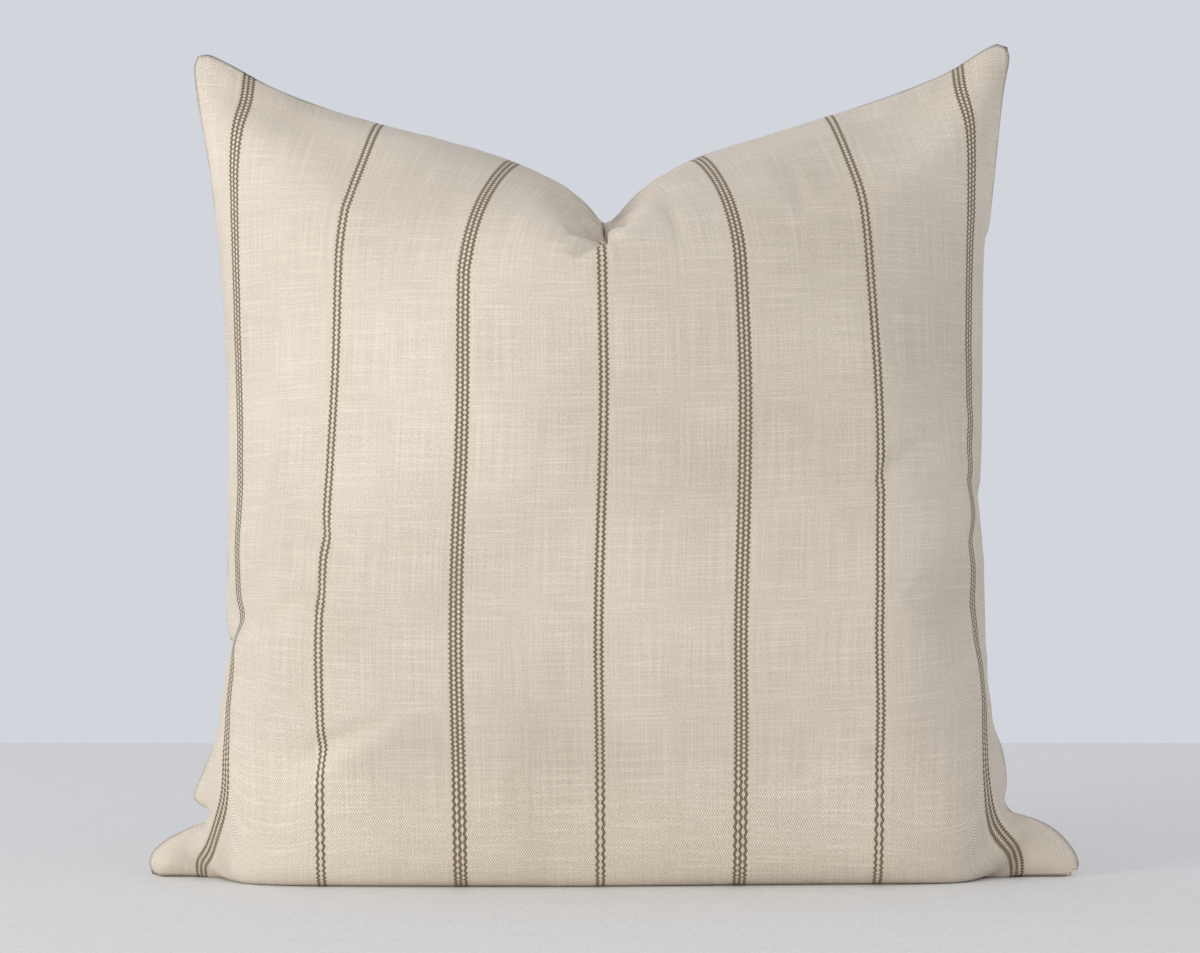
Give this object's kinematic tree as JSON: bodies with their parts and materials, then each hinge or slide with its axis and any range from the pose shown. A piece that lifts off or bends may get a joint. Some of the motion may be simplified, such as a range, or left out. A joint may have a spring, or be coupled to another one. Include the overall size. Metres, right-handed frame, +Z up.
{
  "type": "throw pillow",
  "caption": "Square knife-edge throw pillow standing on its zipped lower edge, with a dented top, a striped woven front, a plain back and a feather-filled insert.",
  "frame": {"origin": "on the surface the pillow stands on, under the middle of its box", "axes": "+Z up, +X along the zipper, -Y the way the striped front panel faces"},
  "size_m": [0.504, 0.224, 0.455],
  "materials": {
    "striped_cloth": "matte",
    "plain_cloth": "matte",
    "sewing_thread": "matte",
    "label_satin": "satin",
    "cambric_ticking": "matte",
    "feather_filling": "matte",
    "zipper_tape": "matte",
    "zipper_coil": "satin",
    "zipper_enamel": "satin"
  },
  "bodies": {
    "pillow": {"cover_front_panel": "striped_cloth", "cover_back_panel": "plain_cloth", "cover_seam_overlock_thread": "sewing_thread", "care_label": "label_satin", "insert_front_ticking": "cambric_ticking", "insert_back_ticking": "cambric_ticking", "insert_seam_thread": "sewing_thread", "insert_filling": "feather_filling", "zipper_front_tape": "zipper_tape", "zipper_front_tape_stitching": "sewing_thread", "zipper_front_coil": "zipper_coil", "zipper_front_top_stop": "zipper_enamel", "zipper_back_tape": "zipper_tape", "zipper_back_tape_stitching": "sewing_thread", "zipper_back_coil": "zipper_coil", "zipper_back_top_stop": "zipper_enamel", "zipper_bottom_stop": "zipper_enamel"},
    "slider": {"zipper_slider": "zipper_enamel"},
    "pull": {"zipper_pull_tab": "zipper_enamel"}
  },
  "joints": [
    {"name": "zipper_slide", "type": "slide", "parent": "pillow", "child": "slider", "axis": [-1, 0, 0], "range_m": [0, 0.316]},
    {"name": "pull_swing", "type": "hinge", "parent": "slider", "child": "pull", "pos_m": [0.158, 0, 0.0034], "axis": [0, 1, 0], "range_deg": [0, 166]}
  ]
}
